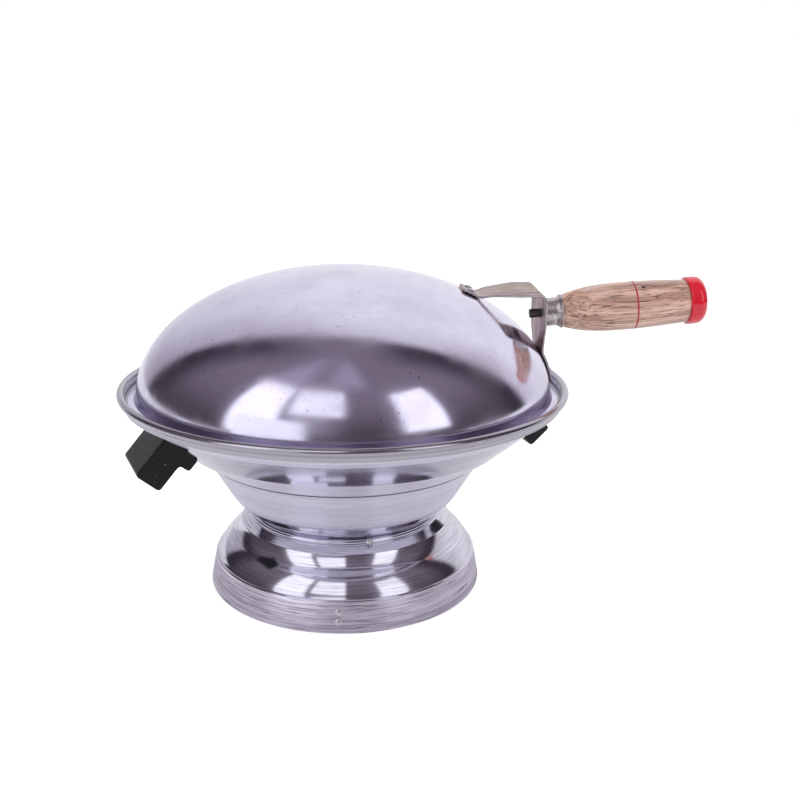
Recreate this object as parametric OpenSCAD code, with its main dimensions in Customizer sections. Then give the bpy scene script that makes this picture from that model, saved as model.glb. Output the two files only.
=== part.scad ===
/* [Foot and pedestal] */
// Outer radius of the foot, where it stands
foot_r = 107; // [100:0.5:112]
// Radius of the sharp ridge over the foot band
ridge_r = 102.6; // [101:0.1:104]
// Height of the ridge above the floor
ridge_z = 22.8; // [20:0.1:25]
// Radius of the step over the rounded shoulder
step_r = 88.5; // [87:0.5:91]
// Height of that step
step_z = 40; // [39:0.5:41.5]
// Radius of the collar's edge under the neck
collar_r = 82; // [80:0.5:84]
// Height of the collar's edge
collar_z = 49.6; // [48.5:0.1:50.5]
// Radius of the bead rolled round the neck
bead_roll = 1.7; // [1.5:0.1:1.8]
// Height of the neck bead
bead_z = 55.8; // [55:0.1:56.5]
// Thickness of the spun aluminium sheet
sheet = 1.5; // [1.2:0.1:1.8]

/* [Bowl] */
// Outer radius of the bowl's spigot, which fits in the neck
spigot_r = 72.6; // [72.4:0.1:72.7]
// Radius of the fine groove round the bowl
groove_r = 107; // [105:0.5:109]
// Height of the fine groove
groove_z = 104; // [102:0.5:106]
// Radius of the crease above the groove
crease_r = 123; // [121:0.5:125]
// Height of the crease
crease_z = 115; // [113:0.5:117]
// Outer radius of the rolled rim
rim_r = 170; // [169:0.5:172]
// Height of the rolled rim's middle circle
rim_z = 156.8; // [156:0.1:158]
// Radius of the roll in the rim
rim_roll = 2.8; // [2.5:0.1:3]
// Height of the ledge that the lid rests on
ledge_z = 151; // [150.5:0.1:151.5]

/* [Lid] */
// Radius of the dome where it meets its flange
dome_r = 156.5; // [155:0.5:157]
// Height of the dome above its widest circle
dome_h = 93.4; // [88:0.2:98]
// Height of the dome's widest circle above the floor
dome_z = 152.1; // [151.8:0.1:152.6]
// Outer radius of the lid's flange
flange_r = 162.6; // [161:0.1:163]

/* [Lid handle] */
// Distance from the lid's axis to the handle strap's upright leg
leg_x = 148; // [146:0.5:150]
// Height of the strap's corner
corner_z = 229.8; // [226:0.1:232]
// Width of the strap
strap_w = 30; // [24:1:32]
// Thickness of the strap
strap_t = 2; // [1.6:0.1:2.4]
// Turn of the strap's corner about the vertical
strap_turn = 11; // [0:1:12]
// Dip of the strap's near edge at its corner
strap_dip = 11; // [0:1:12]
// Height of the grip's axis at the strap
grip_z = 211; // [208:0.5:214]
// Upward tilt of the grip
grip_tilt = 4.8; // [0:0.1:6]
// Length of the turned wooden grip
grip_len = 95.8; // [90:0.1:110]
// Largest radius of the wooden grip
grip_r = 18.4; // [16:0.1:19]

/* [Side handles] */
// Turn of the left side handle from the -X axis
left_turn = 21.5; // [0:0.5:30]
// Turn of the right side handle from the +X axis
right_turn = 16; // [0:0.5:30]
// Length of a side handle round the bowl
side_len = 50; // [46:1:58]
// Thickness of a side handle up and down the wall
side_thick = 21; // [18:0.5:24]
// How far a side handle stands out from the wall
side_out = 31; // [28:1:36]
// Distance from the bowl's axis to a side handle's middle at the wall
side_r = 137.5; // [136:0.5:141]

/* [Rack and flame spreader] */
// Radius of the rack's outer ring
rack_r = 128; // [127:0.5:129]
// Spacing of the rack's wires
rack_pitch = 16; // [14:1:20]
// Radius of the flame spreader's disc
disc_r = 62; // [58:1:64]
// Height of the flame spreader's disc above the floor
disc_z = 84; // [82:0.5:86]

/* [Hidden] */
$fn = 96;
aluminium = [0.80, 0.79, 0.84];
worn_aluminium = [0.72, 0.71, 0.75];
bright_steel = [0.70, 0.70, 0.72];
dark_steel = [0.35, 0.34, 0.34];
bakelite = [0.07, 0.07, 0.08];
wood = [0.66, 0.47, 0.33];
red = [0.82, 0.10, 0.10];

// Outlines are lists of [radius, height] points.
function unit(v) = v / norm(v);
function turned(v) = [-v.y, v.x];
function side_of(path, i) = turned(unit(path[i + 1] - path[i]));
function corner_side(a, b) = (a + b) / (1 + a * b);
function offset_point(path, i, t) =
    i == 0 ? path[0] + t * side_of(path, 0)
    : i == len(path) - 1 ? path[i] + t * side_of(path, i - 1)
    : path[i] + t * corner_side(side_of(path, i - 1), side_of(path, i));

// The closed outline of a sheet of thickness t, on the left of a path.
function other_side(path, t) = [for (i = [len(path) - 1 : -1 : 0]) offset_point(path, i, t)];
function sheet_outline(path, t) = concat(path, other_side(path, t));

// Points of an arc from a to b. It bows by rise to the path's right, or to its left where rise < 0.
function arc(a, b, rise, steps) =
    let (
        half = norm(b - a) / 2,
        radius = (half * half + rise * rise) / (2 * rise),
        centre = (a + b) / 2 + (radius - rise) * turned(unit(b - a)),
        spread = 2 * asin(half / radius),
        start = atan2(a.y - centre.y, a.x - centre.x)
    )
    [for (i = [0 : steps])
        centre + abs(radius) * [cos(start + spread * i / steps), sin(start + spread * i / steps)]];

module spun(outline) {
    rotate_extrude()
        polygon(outline);
}

// Puts a piece that is made along +X at an angle round the vertical axis.
module around(angle) {
    rotate([0, 0, angle])
        children();
}

// ---- Pedestal ----
foot_hem = 4;
rest_angles = [-93, 27, 147];
rest_rivet_z = [8.5, 15.5];
rest_w = 20;
rest_t = 2;
rest_top = 19;
rest_reach = 17;
rest_floor = 2.6;
rest_gap = 0.6;
rivet_r = 2;
rivet_head_r = 2.9;
rivet_head_h = 1.2;
drill_gap = 0.05;
neck_top = 57.6;
neck_r = spigot_r + sheet + 0.1;

skirt_path = concat(
    [[foot_r - foot_hem, 0], [foot_r, 0], [ridge_r, ridge_z]],
    arc([ridge_r - 1.6, ridge_z + 1.4], [step_r + 0.6, step_z - 0.7], 1, 8),
    arc([step_r - 0.5, step_z + 0.4], [collar_r, collar_z], -0.5, 4),
    [[neck_r + 1.2, bead_z - 2.6]]
);
base_path = concat(skirt_path, [[neck_r, bead_z - bead_roll], [neck_r, neck_top]]);
bead_arc = arc([neck_r, bead_z - bead_roll], [neck_r, bead_z + bead_roll], bead_roll - 0.1, 8);
band_slope = atan((foot_r - ridge_r) / ridge_z);
function band_r(z) = foot_r - z * tan(band_slope);

module rivet_hole(depth) {
    rotate([0, 90, 0])
        cylinder(h = depth, r = rivet_r + drill_gap, center = true, $fn = 32);
}

module at_rest_rivet(angle, z) {
    around(angle)
        translate([band_r(z), 0, z])
            rotate([0, -band_slope, 0])
                children();
}

module screw_hole(r, z, depth) {
    translate([r, 0, z])
        rotate([0, 90, 0])
            cylinder(h = depth, r = neck_screw_r + drill_gap, center = true, $fn = 32);
}

module base_pedestal() {
    color(aluminium)
        difference() {
            spun(concat(skirt_path, bead_arc, [[neck_r, neck_top]], other_side(base_path, sheet)));
            for (angle = rest_angles)
                for (z = rest_rivet_z)
                    at_rest_rivet(angle, z)
                        rivet_hole(12);
            for (angle = neck_screw_angles)
                around(angle)
                    screw_hole(neck_r, bead_z, 14);
        }
}

// A bent bracket inside the foot, which keeps the oven on the bars over the burner.
module stove_rest(angle) {
    inner = band_r(rest_top) - sheet;
    color(worn_aluminium)
        around(angle)
            difference() {
                rotate([90, 0, 0])
                    linear_extrude(height = rest_w, center = true)
                        polygon(sheet_outline([
                            [band_r(rest_top) - sheet - rest_gap, rest_top],
                            [band_r(rest_floor) - sheet - rest_gap, rest_floor],
                            [inner - rest_reach, rest_floor]
                        ], -rest_t));
                for (z = rest_rivet_z)
                    at_rest_rivet(0, z)
                        rivet_hole(12);
            }
}

// A rivet along +X: its domed head is at x = 0 and its tail is set at x = -grip.
module rivet(grip) {
    rotate([0, 90, 0]) {
        translate([0, 0, -grip])
            cylinder(h = grip, r = rivet_r, $fn = 32);
        rotate_extrude($fn = 32)
            polygon(concat(
                [[0, 0]],
                [for (a = [0 : 15 : 90]) [rivet_head_r * cos(a), rivet_head_h * sin(a)]]
            ));
        translate([0, 0, -grip - rivet_head_h * 0.8])
            cylinder(h = rivet_head_h * 0.8, r1 = rivet_r, r2 = rivet_head_r - 0.3, $fn = 32);
    }
}

module stove_rest_rivets() {
    color(worn_aluminium)
        for (angle = rest_angles)
            for (z = rest_rivet_z)
                at_rest_rivet(angle, z)
                    translate([0.1, 0, 0])
                        rivet(sheet + rest_t + 2 * rest_gap);
}

// ---- Bowl ----
spigot_bottom = 45;
rim_mid_r = rim_r - rim_roll;
rim_wall_r = rim_mid_r - 1.5;
wall_top_r = 158;
wall_top_z = 145.8;
wall_slope = atan((wall_top_z - crease_z) / (wall_top_r - crease_r));
neck_screw_angles = [-77, 43, 163];
neck_screw_r = 2;

bowl_path = concat(
    [[spigot_r, spigot_bottom], [spigot_r, 57.5]],
    arc([spigot_r + 1.6, 59.4], [93, 80.5], 1.8, 6),
    [[groove_r, groove_z], [crease_r, crease_z]],
    arc([crease_r + 2, crease_z + 1.8], [wall_top_r, wall_top_z], 0.5, 6),
    [[wall_top_r + 2, ledge_z - sheet], [rim_wall_r, ledge_z - sheet]],
    [[rim_wall_r, rim_z]]
);

function wall_z(r) = crease_z + (r - crease_r) * tan(wall_slope);

// A frame on the outside of the bowl's wall: +X points out of the wall, +Z up along it.
module at_wall(angle, r) {
    around(angle)
        translate([r, 0, wall_z(r)])
            rotate([0, 90 - wall_slope, 0])
                children();
}

side_screw_y = 15;
side_screw_r = 2;
side_screw_in = 16;
side_screw_head_r = 3.8;
side_washer_r = 5;
side_washer_t = 0.8;
inside_gap = sheet + 0.65;
side_angles = [right_turn, left_turn + 180];

module side_screw_holes(depth) {
    for (angle = side_angles)
        at_wall(angle, side_r)
            for (y = [-side_screw_y, side_screw_y])
                translate([0, y, 0])
                    rotate([0, 90, 0])
                        cylinder(h = depth, r = side_screw_r + drill_gap, center = true, $fn = 32);
}

module bowl() {
    color(aluminium)
        difference() {
            union() {
                spun(sheet_outline(bowl_path, sheet));
                translate([0, 0, rim_z])
                    rotate_extrude()
                        translate([rim_mid_r, 0])
                            circle(r = rim_roll, $fn = 32);
            }
            for (angle = neck_screw_angles)
                around(angle)
                    screw_hole(spigot_r, bead_z, 14);
            side_screw_holes(14);
        }
}

// A pan-head screw along +X: the head's seat is at x = 0 and its end is at x = -length.
module pan_screw(r, head_r, head_h, length) {
    rotate([0, 90, 0]) {
        translate([0, 0, -length])
            cylinder(h = length, r = r, $fn = 32);
        difference() {
            rotate_extrude($fn = 48)
                polygon(concat([[0, 0]], [for (a = [0 : 15 : 90]) [head_r * cos(a), head_h * sin(a)]]));
            translate([0, 0, head_h])
                cube([2 * head_r + 1, head_r / 5, head_h], center = true);
        }
    }
}

neck_head_r = 2.6;
neck_head_h = 1.8;
neck_screw_len = 9.5;

module neck_screws() {
    color(bright_steel)
        for (angle = neck_screw_angles)
            around(angle)
                translate([neck_r + bead_roll, 0, bead_z])
                    pan_screw(neck_screw_r, neck_head_r, neck_head_h, neck_screw_len);
}

module hex_nut(across, thick, bore_r) {
    rotate([0, 90, 0])
        difference() {
            cylinder(h = thick, r = across / sqrt(3), $fn = 6);
            translate([0, 0, -1])
                cylinder(h = thick + 2, r = bore_r, $fn = 32);
        }
}

module neck_nuts() {
    nut_t = 3;
    color(bright_steel)
        for (angle = neck_screw_angles)
            around(angle)
                translate([spigot_r - sheet - nut_t - 0.45, 0, bead_z])
                    hex_nut(7, nut_t, neck_screw_r + drill_gap);
}

// ---- Side handles ----
lug_len = 8.5;
lug_out = 8;
wall_gap = 0.15;
edge_round = 3;
bowl_side = concat([[0, groove_z], [groove_r + wall_gap, groove_z], [crease_r + wall_gap, crease_z]],
    arc([crease_r + 2 + wall_gap, crease_z + 1.8], [wall_top_r + wall_gap, wall_top_z], 0.5, 6),
    [[wall_top_r + 2, ledge_z - sheet], [rim_wall_r, ledge_z - sheet], [rim_wall_r, rim_z], [0, rim_z]]);

// The side view of a moulded block from x = -5 to x = out, between two heights.
module block_side(out, low, high) {
    polygon(concat(
        [[-5, high], [-5, low]],
        [for (a = [-90 : 15 : 0]) [out - edge_round + edge_round * cos(a), low + edge_round + edge_round * sin(a)]],
        [for (a = [0 : 15 : 90]) [out - edge_round + edge_round * cos(a), high - edge_round + edge_round * sin(a)]]
    ));
}

module moulded_block(out, low, high, width) {
    rotate([90, 0, 0])
        linear_extrude(height = width, center = true)
            block_side(out, low, high);
}

// A moulded block with one lug below it. Its back is hollowed to the curve of the bowl.
module side_handle(angle) {
    half = side_thick / 2;
    color(bakelite)
        difference() {
            at_wall(angle, side_r) {
                moulded_block(side_out, -half, half, side_len);
                moulded_block(lug_out, -half - lug_len, 0, side_len);
            }
            spun(bowl_side);
            side_screw_holes(2 * side_screw_in);
        }
}

module at_side_screws() {
    for (angle = side_angles)
        at_wall(angle, side_r)
            for (y = [-side_screw_y, side_screw_y])
                translate([-inside_gap, y, 0])
                    children();
}

module side_handle_screws() {
    color(bright_steel)
        at_side_screws()
            translate([-side_washer_t, 0, 0])
                rotate([0, 180, 0])
                    pan_screw(side_screw_r, side_screw_head_r, 2.4, side_screw_in);
}

module side_handle_washers() {
    color(bright_steel)
        at_side_screws()
            translate([-side_washer_t, 0, 0])
                rotate([0, 90, 0])
                    difference() {
                        cylinder(h = side_washer_t, r = side_washer_r, $fn = 48);
                        translate([0, 0, -1])
                            cylinder(h = 3, r = side_screw_r + drill_gap, $fn = 32);
                    }
}

// ---- Flame spreader ----
disc_t = 1.5;
disc_lip = 4;
leg_w = 14;
leg_t = 1.5;
leg_rivet_r = 46;
leg_angles = [30, 150, 270];

module leg_rivet_holes() {
    for (angle = leg_angles)
        around(angle)
            translate([leg_rivet_r, 0, disc_z])
                cylinder(h = 12, r = rivet_r + drill_gap, center = true, $fn = 32);
}

module spreader_disc() {
    color(dark_steel)
        difference() {
            spun(sheet_outline([
                [0, disc_z - disc_t], [disc_r - 5, disc_z - disc_t], [disc_r - disc_t, disc_z - disc_t - disc_lip]
            ], disc_t));
            leg_rivet_holes();
        }
}

// A bent strip: flat under the disc, then down and out to a foot that follows the bowl.
module spreader_leg(angle) {
    color(dark_steel)
        difference() {
            around(angle)
                rotate([90, 0, 0])
                    linear_extrude(height = leg_w, center = true)
                        polygon(sheet_outline([
                            [leg_rivet_r - 7, disc_z - disc_t],
                            [leg_rivet_r + 7, disc_z - disc_t],
                            [72, 67.8],
                            [76, 66.6],
                            [84.5, 73.8]
                        ], -leg_t));
            leg_rivet_holes();
        }
}

module spreader_rivets() {
    color(bright_steel)
        for (angle = leg_angles)
            around(angle)
                translate([leg_rivet_r, 0, disc_z])
                    rotate([0, -90, 0])
                        rivet(disc_t + leg_t);
}

// ---- Rack ----
ring_wire = 2;
bar_wire = 1.5;
wall_clear = 0.3;
rack_z = wall_z(rack_r) + (sheet + ring_wire + wall_clear) / cos(wall_slope);
wires_z = rack_z + ring_wire + bar_wire;
wire_count = 15;
loop_r = 11;
loop_stem = 3;
loop_lean = 30;
brace_y = 42;

module wire_along_x(r, length) {
    rotate([0, 90, 0])
        cylinder(h = length, r = r, center = true, $fn = 24);
}

module rack_ring() {
    color(bright_steel)
        translate([0, 0, rack_z])
            rotate_extrude()
                translate([rack_r, 0])
                    circle(r = ring_wire, $fn = 24);
}

module rack_wires() {
    color(bright_steel)
        for (i = [0 : wire_count - 1]) {
            y = (i - (wire_count - 1) / 2) * rack_pitch;
            translate([0, y, wires_z])
                wire_along_x(bar_wire, 2 * sqrt(pow(rack_r + 0.5, 2) - y * y));
        }
}

// Two braces cross under the wires, between the ring's sides.
module rack_braces() {
    color(bright_steel)
        for (x = [-brace_y, brace_y])
            translate([x, 0, rack_z])
                rotate([0, 0, 90])
                    wire_along_x(ring_wire, 2 * (sqrt(pow(rack_r - ring_wire, 2) - x * x) - 1));
}

// Two wire loops to lift the rack by, on the ring at its sides, leaning inwards.
module rack_loops() {
    color(bright_steel)
        for (side = [-1, 1])
            translate([0, side * (rack_r - 1), rack_z + ring_wire * (1 + sin(loop_lean)) + 0.05])
                rotate([side * loop_lean, 0, 0]) {
                    for (x = [-loop_r, loop_r])
                        translate([x, 0, 0])
                            cylinder(h = loop_stem, r = ring_wire, $fn = 24);
                    translate([0, 0, loop_stem])
                        rotate([90, 0, 0])
                            rotate_extrude(angle = 180, $fn = 64)
                                translate([loop_r, 0])
                                    circle(r = ring_wire, $fn = 24);
                }
}

// ---- Lid ----
function dome_point(a, t) = [(dome_r - t) * cos(a), dome_z + (dome_h - t) * sin(a)];
dome_step = 3.75;
strap_foot_a = [56, 50.5];
strap_toe_a = [16, 4];
rivet_foot_a = 53.3;
rivet_toe_a = 9;
rivet_side = 7.5;
dome_low_a = 1.5;

// The outward slope of the dome at a, as an angle over the horizontal.
function dome_normal(a) = atan2(sin(a) / dome_h, cos(a) / dome_r);

module at_dome(a, y) {
    p = dome_point(a, 0);
    translate([sqrt(p.x * p.x - y * y), y, p.y])
        rotate([0, 0, asin(y / p.x)])
            rotate([0, -dome_normal(a), 0])
                children();
}

module at_strap_rivets() {
    for (a = [rivet_foot_a, rivet_toe_a])
        for (y = [-rivet_side, rivet_side])
            at_dome(a, y)
                children();
}

module lid_dome() {
    color(aluminium)
        difference() {
            spun(concat(
                [[flange_r, ledge_z], [flange_r, ledge_z + sheet], [dome_r + 1.2, ledge_z + sheet]],
                [dome_point(dome_low_a, 0)],
                [for (a = [dome_step : dome_step : 90]) dome_point(a, 0)],
                [for (a = [90 : -dome_step : dome_step]) dome_point(a, sheet)],
                [[dome_r - sheet, ledge_z]]
            ));
            at_strap_rivets()
                rivet_hole(12);
        }
}

// The strap's middle line, in the plane of the grip, as [x, z] points.
rest_off = strap_t / 2 + 0.15;
function on_dome(a) = dome_point(a, 0) + rest_off * [cos(dome_normal(a)), sin(dome_normal(a))];
corner_r = 5;
strap_path = concat(
    [for (k = [0 : 4]) on_dome(strap_foot_a[0] + (strap_foot_a[1] - strap_foot_a[0]) * k / 4)],
    [[108, corner_z - 3], [118, corner_z - 2.1], [131, corner_z - 1.2]],
    [for (a = [85 : -17 : 0]) [leg_x - corner_r + corner_r * cos(a), corner_z - 1 - corner_r + corner_r * sin(a)]],
    [[leg_x, grip_z + 7], [leg_x, grip_z], [leg_x, grip_z - 7], [leg_x + 0.2, 192], [leg_x + 1, 183]],
    [for (k = [0 : 5]) on_dome(strap_toe_a[0] + (strap_toe_a[1] - strap_toe_a[0]) * k / 5)]
);
strap_end = len(strap_path) - 1;

// How much of the strap's turn and dip a point has: none at the riveted ends, all at the corner.
function twist_at(i) =
    let (x = strap_path[i].x, z = strap_path[i].y)
    i <= 4 ? 0 : x < leg_x - 6 ? min(1, (x - 100) / 30) : z > grip_z - 8 ? 1 : max(0, (z - 178) / 26);
function strap_across(i) =
    let (turn = strap_turn * twist_at(i), dip = strap_dip * twist_at(i))
    [sin(turn) * cos(dip), -cos(turn) * cos(dip), -sin(dip)];
function strap_point(i) = [strap_path[i].x, 0, strap_path[i].y];
function strap_along(i) = unit(strap_point(min(i + 1, strap_end)) - strap_point(max(i - 1, 0)));
function strap_ring(i) =
    let (
        across = strap_across(i),
        up = unit(cross(across, strap_along(i))),
        w = across * strap_w / 2,
        t = up * strap_t / 2
    )
    [for (s = [[1, 1], [-1, 1], [-1, -1], [1, -1]]) strap_point(i) + s[0] * w + s[1] * t];

// A ribbon swept along the middle line, each ring joined to the next by eight triangles.
module ribbon() {
    rings = [for (i = [0 : strap_end]) for (p = strap_ring(i)) p];
    last = 4 * strap_end;
    polyhedron(
        points = rings,
        faces = concat(
            [[0, 1, 2], [0, 2, 3], [last, last + 2, last + 1], [last, last + 3, last + 2]],
            [for (i = [0 : strap_end - 1]) for (k = [0 : 3])
                let (a = 4 * i + k, b = 4 * i + (k + 1) % 4)
                [a, a + 4, b + 4]],
            [for (i = [0 : strap_end - 1]) for (k = [0 : 3])
                let (a = 4 * i + k, b = 4 * i + (k + 1) % 4)
                [a, b + 4, b]]
        )
    );
}

// The strap's riveted ends are formed to the dome, so nothing of it goes below this skin.
module dome_skin() {
    spun(concat(
        [[0, dome_z]],
        [for (a = [0 : dome_step : 90]) dome_point(a, -0.1)]
    ));
}

rod_r = 3;
rod_head_r = 3.4;
rod_head_h = 5.5;
ferrule_r = 10.8;
ferrule_len = 17;
wood_start = ferrule_len;
wood_end = wood_start + grip_len;
tenon_r = 14;
tenon_len = 5;
cap_r = 18.2;
cap_len = 13.5;
ring_u = 71.8;
ring_w = 1.3;
ring_depth = 0.7;

// A frame on the grip's axis: +X runs along the grip, from the strap's middle outwards.
module on_grip() {
    translate([leg_x, 0, grip_z])
        rotate([0, -grip_tilt, 0])
            children();
}

module along_grip(x, r, length) {
    translate([x, 0, 0])
        rotate([0, 90, 0])
            cylinder(h = length, r = r, $fn = 64);
}

module turned_piece(outline) {
    rotate([0, 90, 0])
        rotate_extrude()
            polygon(outline);
}

module handle_strap() {
    color(worn_aluminium)
        difference() {
            ribbon();
            dome_skin();
            on_grip()
                along_grip(-20, rod_r + drill_gap, 40);
            at_strap_rivets()
                rivet_hole(12);
        }
}

module strap_rivets() {
    color(worn_aluminium)
        at_strap_rivets()
            translate([strap_t + 0.8, 0, 0])
                rivet(sheet + strap_t + 0.9);
}

module handle_rod() {
    color(dark_steel)
        on_grip() {
            along_grip(-strap_t - rod_head_h, rod_head_r, rod_head_h);
            along_grip(-strap_t, rod_r, wood_end + tenon_len + strap_t + 5);
        }
}

module rod_nut() {
    color(bright_steel)
        on_grip()
            translate([wood_end + tenon_len, 0, 0])
                hex_nut(10, 4, rod_r + drill_gap);
}

module handle_ferrule() {
    color(worn_aluminium)
        on_grip()
            difference() {
                turned_piece([
                    [rod_r + drill_gap, 0], [ferrule_r, 0], [ferrule_r, 12], [ferrule_r + 0.7, 14.4],
                    [ferrule_r + 2.2, 16], [ferrule_r + 2.2, ferrule_len], [rod_r + drill_gap, ferrule_len]
                ]);
                rotate([0, grip_tilt, 0])
                    rotate([0, 0, strap_turn])
                        translate([-20 + strap_t / 2 + 0.35, 0, 0])
                            cube([40, 60, 60], center = true);
            }
}

// The grip's outline: it swells from the ferrule, is fullest near its middle, and thins to the cap.
function grip_radius(u) =
    let (k = (u - wood_start) / grip_len)
    grip_r * (k < 0.5 ? 1 - 0.34 * pow(1 - k / 0.5, 2.6) : 1 - 0.11 * pow((k - 0.5) / 0.5, 1.6));
grip_steps = 24;

module wooden_grip() {
    color(wood)
        on_grip()
            difference() {
                turned_piece(concat(
                    [[rod_r + 0.1, wood_start + 0.05]],
                    [for (i = [0 : grip_steps])
                        let (u = wood_start + 0.05 + (grip_len - 0.05) * i / grip_steps) [grip_radius(u), u]],
                    [[tenon_r, wood_end], [tenon_r, wood_end + tenon_len - 0.1]],
                    [[rod_r + 0.1, wood_end + tenon_len - 0.1]]
                ));
                turned_piece([
                    [grip_radius(ring_u) - ring_depth, ring_u - ring_w / 2], [grip_r + 2, ring_u - ring_w / 2],
                    [grip_r + 2, ring_u + ring_w / 2], [grip_radius(ring_u) - ring_depth, ring_u + ring_w / 2]
                ]);
                at_pin()
                    cylinder(h = 2 * pin_len, r = pin_r + drill_gap, center = true, $fn = 24);
            }
}

module grip_ring() {
    low = grip_radius(ring_u) - ring_depth + 0.02;
    color(red)
        on_grip()
            turned_piece([
                [low, ring_u - ring_w / 2], [low + ring_depth, ring_u - ring_w / 2],
                [low + ring_depth + 0.1, ring_u], [low + ring_depth, ring_u + ring_w / 2],
                [low, ring_u + ring_w / 2]
            ]);
}

pin_u = 77.8;
pin_r = 1;
pin_len = 12;
pin_angle = 33;

module at_pin() {
    translate([pin_u, 0, 0])
        rotate([pin_angle, 0, 0])
            translate([0, 0, grip_radius(pin_u)])
                children();
}

// A nail that keeps the wood from turning on its rod.
module grip_pin() {
    color(dark_steel)
        on_grip()
            at_pin() {
                translate([0, 0, -pin_len])
                    cylinder(h = pin_len + 0.3, r = pin_r, $fn = 24);
                cylinder(h = 0.5, r1 = pin_r + 0.5, r2 = pin_r, $fn = 24);
            }
}

// A moulded cap pushed over the wood's tenon, hollow inside for the nut.
module grip_cap() {
    wall = 2.2;
    round = 7;
    color(red)
        on_grip()
            turned_piece(concat(
                [[tenon_r + 0.05, wood_end + 0.05], [cap_r - 0.8, wood_end + 0.05], [cap_r, wood_end + 1]],
                [for (a = [0 : 9 : 90])
                    [cap_r - round + round * cos(a), wood_end + cap_len - round + round * sin(a)]],
                [[0, wood_end + cap_len + 0.9], [0, wood_end + cap_len - wall]],
                [[tenon_r + 0.05, wood_end + cap_len - wall]]
            ));
}

base_pedestal();
for (i = [1 : 3]) stove_rest(rest_angles[i - 1]);
stove_rest_rivets();
bowl();
neck_screws();
neck_nuts();
side_handle(left_turn + 180);  // side_handle_left
side_handle(right_turn);  // side_handle_right
side_handle_screws();
side_handle_washers();
spreader_disc();
for (i = [1 : 3]) spreader_leg(leg_angles[i - 1]);
spreader_rivets();
rack_ring();
rack_wires();
rack_braces();
rack_loops();
lid_dome();
handle_strap();
strap_rivets();
handle_rod();
rod_nut();
handle_ferrule();
wooden_grip();
grip_ring();
grip_pin();
grip_cap();
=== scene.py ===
import math

import bpy
from mathutils import Matrix, Vector


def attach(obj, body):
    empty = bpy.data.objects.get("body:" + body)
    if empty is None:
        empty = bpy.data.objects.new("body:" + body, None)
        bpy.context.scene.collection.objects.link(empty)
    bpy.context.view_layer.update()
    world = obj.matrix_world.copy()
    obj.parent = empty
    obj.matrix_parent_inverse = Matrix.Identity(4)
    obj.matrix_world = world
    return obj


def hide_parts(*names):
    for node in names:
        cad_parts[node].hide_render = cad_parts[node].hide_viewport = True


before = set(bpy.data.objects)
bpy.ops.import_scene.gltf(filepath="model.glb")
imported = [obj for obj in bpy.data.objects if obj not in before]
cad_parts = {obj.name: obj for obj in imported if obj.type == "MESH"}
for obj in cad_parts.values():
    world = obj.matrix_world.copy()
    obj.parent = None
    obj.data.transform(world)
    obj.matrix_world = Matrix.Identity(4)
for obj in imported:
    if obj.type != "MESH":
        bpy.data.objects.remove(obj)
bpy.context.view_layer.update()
scene = bpy.context.scene

# ---- Camera ----
# A short telephoto on a stand, looking a little down on the oven from its front.
# The stand leans by less than a degree.
camera_data = bpy.data.cameras.new("camera")
camera_data.lens = 43.6
camera_data.sensor_width = 36
camera = bpy.data.objects.new("camera", camera_data)
camera.matrix_world = (
    Matrix.Translation((0, -0.723, 0.349))
    @ Matrix.Rotation(math.radians(-3.36), 4, "Z")
    @ Matrix.Rotation(math.radians(90 - 15.95), 4, "X")
    @ Matrix.Rotation(math.radians(0.70), 4, "Z")
)
scene.collection.objects.link(camera)
scene.camera = camera


# ---- Studio ----
# A white table and a white backdrop behind it, in a dim room. Three soft boxes stand
# in front of the table: a tall one and a high one on the left, and one on the right.
def add(tree, kind, inputs=(), **settings):
    """A new node of that kind with its inputs linked or set. It returns the first output."""
    node = tree.nodes.new("ShaderNode" + kind)
    for key, value in settings.items():
        setattr(node, key, value)
    for socket, value in dict(inputs).items():
        if isinstance(value, bpy.types.NodeSocket):
            tree.links.new(value, node.inputs[socket])
        else:
            node.inputs[socket].default_value = value
    return node.outputs[0] if node.outputs else node


def maths(tree, operation, a, b=0.0, c=0.0):
    return add(tree, "Math", {0: a, 1: b, 2: c}, operation=operation)


def ramp(tree, value, low, high):
    """0 up to low, 1 from high, and smooth between them."""
    return add(
        tree,
        "MapRange",
        {0: value, 1: low, 2: high, 3: 0.0, 4: 1.0},
        interpolation_type="SMOOTHSTEP",
    )


def blend(tree, factor, a, b):
    """The colour a where factor is 0, b where it is 1."""
    mix = tree.nodes.new("ShaderNodeMix")
    mix.data_type = "RGBA"
    for socket, value in ((0, factor), (6, a), (7, b)):
        if isinstance(value, bpy.types.NodeSocket):
            tree.links.new(value, mix.inputs[socket])
        elif socket == 0:
            mix.inputs[socket].default_value = value
        else:
            mix.inputs[socket].default_value = (*value, 1)
    return mix.outputs[2]


scene.view_settings.view_transform = "Standard"
world = bpy.data.worlds.new("studio")
world.use_nodes = True
scene.world = world
tree = world.node_tree
tree.nodes.clear()
direction = add(tree, "TexCoord")
split = add(tree, "SeparateXYZ", {0: direction}).node
across = split.outputs[0]
away = split.outputs[1]
height = split.outputs[2]
azimuth = maths(tree, "ARCTAN2", across, maths(tree, "MULTIPLY", away, -1.0))
elevation = maths(tree, "ARCSINE", height)


def window(left, right, low, high, soft=1.2):
    """1 inside a box of directions, in degrees, and 0 outside it."""
    inside = None
    for value, edge, sense in (
        (azimuth, left, 1),
        (azimuth, right, -1),
        (elevation, low, 1),
        (elevation, high, -1),
    ):
        first = math.radians(edge - soft)
        last = math.radians(edge + soft)
        part = ramp(tree, value, first, last)
        if sense < 0:
            part = maths(tree, "SUBTRACT", 1.0, part)
        inside = part if inside is None else maths(tree, "MULTIPLY", inside, part)
    return inside


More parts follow.
